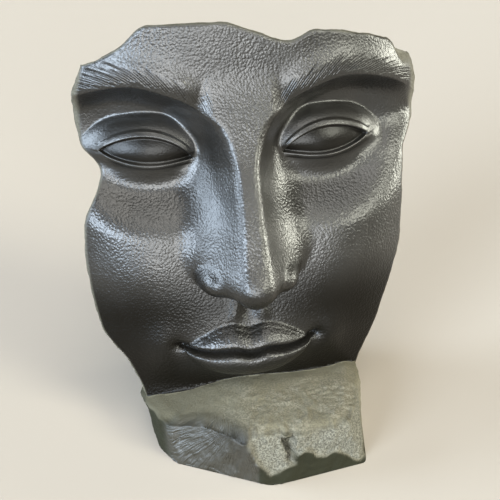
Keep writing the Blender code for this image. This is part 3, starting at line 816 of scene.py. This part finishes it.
def node(kind, inputs=(), **settings):
    """A new node with its settings and inputs, each input a value or another node's output."""
    made = tree.nodes.new(kind)
    for key, value in settings.items():
        setattr(made, key, value)
    for key, value in dict(inputs).items():
        if isinstance(value, bpy.types.NodeSocket):
            tree.links.new(value, made.inputs[key])
        else:
            made.inputs[key].default_value = value
    return made


def grain(size, detail, roughness=0.5):
    coordinates = node("ShaderNodeTexCoord").outputs["Object"]
    inputs = {"Vector": coordinates, "Scale": 1 / size, "Detail": detail, "Roughness": roughness}
    return node("ShaderNodeTexNoise", inputs).outputs["Fac"]


def between(low, high, value, new_low=0.0, new_high=1.0):
    inputs = {"Value": value, "From Min": low, "From Max": high, "To Min": new_low, "To Max": new_high}
    return node("ShaderNodeMapRange", inputs, interpolation_type="SMOOTHSTEP").outputs["Result"]


def mixed(share, a, b):
    """Colour a where share is 0 and b where it is 1."""
    made = node("ShaderNodeMix", {"Factor": share}, data_type="RGBA")
    for socket, value in ((made.inputs[6], a), (made.inputs[7], b)):
        if isinstance(value, bpy.types.NodeSocket):
            tree.links.new(value, socket)
        else:
            socket.default_value = (*value, 1)
    return made.outputs[2]


def mottled(size, detail, spread, shades):
    """Two shades mottled by a grain, the more softly the wider the spread."""
    return mixed(between(0.5 - spread, 0.5 + spread, grain(size, detail)), *shades)


def maths(a, operation, b):
    return node("ShaderNodeMath", {0: a, 1: b}, operation=operation).outputs[0]


def times(a, b):
    return maths(a, "MULTIPLY", b)


def blended(share, a, b):
    """Value a where share is 0 and b where it is 1."""
    return maths(a, "ADD", times(share, maths(b, "SUBTRACT", a)))


def mask(name):
    return node("ShaderNodeAttribute", attribute_name=name).outputs["Fac"]


fresh, dark, leftwards, painted_shade, on_stump, dull_and_shaded, cut, smooth = (
    mask(name) for name in ("fresh", "dark", "leftwards", "painted_shade", "stump", "dull_and_shaded", "cut", "smooth"))
dark = times(dark, on_stump)
glossy = times(dark, leftwards)
raw = maths(mask("broken"), "MAXIMUM", on_stump)

# The lower face is painted darker as shade, and the eyes darker as less rubbed skin
skin_colour = mixed(dull_and_shaded, mottled(0.035, 4, 0.15, SKIN_SHADES), SHADED_DULL_SKIN)
break_colour = mottled(0.0018, 2, 0.15, (mottled(0.018, 5, 0.2, BREAK_SHADES), BREAK_SAND))
stump_colour = mottled(0.0018, 2, 0.15, (mottled(0.020, 5, 0.2, STUMP_SHADES), STUMP_SAND))
# Painted shade and a painted shadow darken the stump's colour
stump_colour = mixed(painted_shade, stump_colour, PAINTED_SHADE_COLOUR)
fresh_colour = mottled(0.0015, 3, 0.15, SPLIT_SHADES)
dark_colour = mixed(leftwards, *DARK_SHADES)
colour = mixed(raw, skin_colour, break_colour)
colour = mixed(on_stump, colour, stump_colour)
colour = mixed(dark, colour, dark_colour)
colour = mixed(fresh, colour, fresh_colour)
tree.links.new(colour, shader.inputs["Base Color"])

# Gloss is the roughness, and polish is how strongly the surface mirrors the lights
skin_gloss = between(0.3, 0.7, grain(0.025, 3), 0.31, 0.38)
raw_gloss = between(0.3, 0.7, grain(0.015, 4), 0.55, 0.72)
gloss = maths(blended(raw, skin_gloss, raw_gloss), "SUBTRACT", times(glossy, 0.18))
tree.links.new(gloss, shader.inputs["Roughness"])
polish = times(between(0.0, 1.0, cut, 1.0, 0.45), between(0.0, 1.0, dull_and_shaded, 0.62, 0.12))
polish = times(polish, between(0.0, 1.0, maths(raw, "SUBTRACT", glossy), 1.0, 0.4))
polish = maths(polish, "ADD", times(glossy, 0.5))
tree.links.new(polish, shader.inputs["Specular IOR Level"])

coordinates = node("ShaderNodeTexCoord").outputs["Object"]
pebble_inputs = {"Vector": coordinates, "Scale": 1 / PEBBLE_SIZE, "Smoothness": 0.6}
pebbles = node("ShaderNodeTexVoronoi", pebble_inputs, feature="SMOOTH_F1").outputs["Distance"]
sand = grain(0.0014, 2, 0.6)
skin_height = maths(times(pebbles, PEBBLE_HEIGHT), "ADD", times(sand, SAND_HEIGHT))
skin_height = times(skin_height, between(0.0, 1.0, smooth, 1.0, 0.3))
raw_height = times(grain(0.0022, 4, 0.75), RAW_HEIGHT)

# Strands, as if combed, fan out from the edge of the ledge over the scooped facet
place_x, _, place_z = node("ShaderNodeSeparateXYZ", {"Vector": coordinates}).outputs
fan = [maths(a, "SUBTRACT", b) for a, b in zip((place_x, place_z), FAN_CENTRE)]
turn = times(maths(fan[0], "ARCTAN2", fan[1]), FAN_TURN)
radius = maths(maths(times(fan[0], fan[0]), "ADD", times(fan[1], fan[1])), "POWER", 0.5)
strand_place = node("ShaderNodeCombineXYZ", {"X": turn, "Y": times(radius, FAN_RADIUS)}).outputs["Vector"]
strands = node("ShaderNodeTexNoise", {"Vector": strand_place, "Scale": 2.2, "Detail": 2.0}).outputs["Fac"]
raw_height = blended(glossy, raw_height, times(strands, STRAND_HEIGHT))
height = blended(raw, skin_height, raw_height)
bump = node("ShaderNodeBump", {"Height": height, "Strength": 1.0, "Distance": RELIEF_DEPTH})
tree.links.new(bump.outputs["Normal"], shader.inputs["Normal"])

casting.data.materials.clear()
casting.data.materials.append(finish)
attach(casting, "root")
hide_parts("face_fragment")
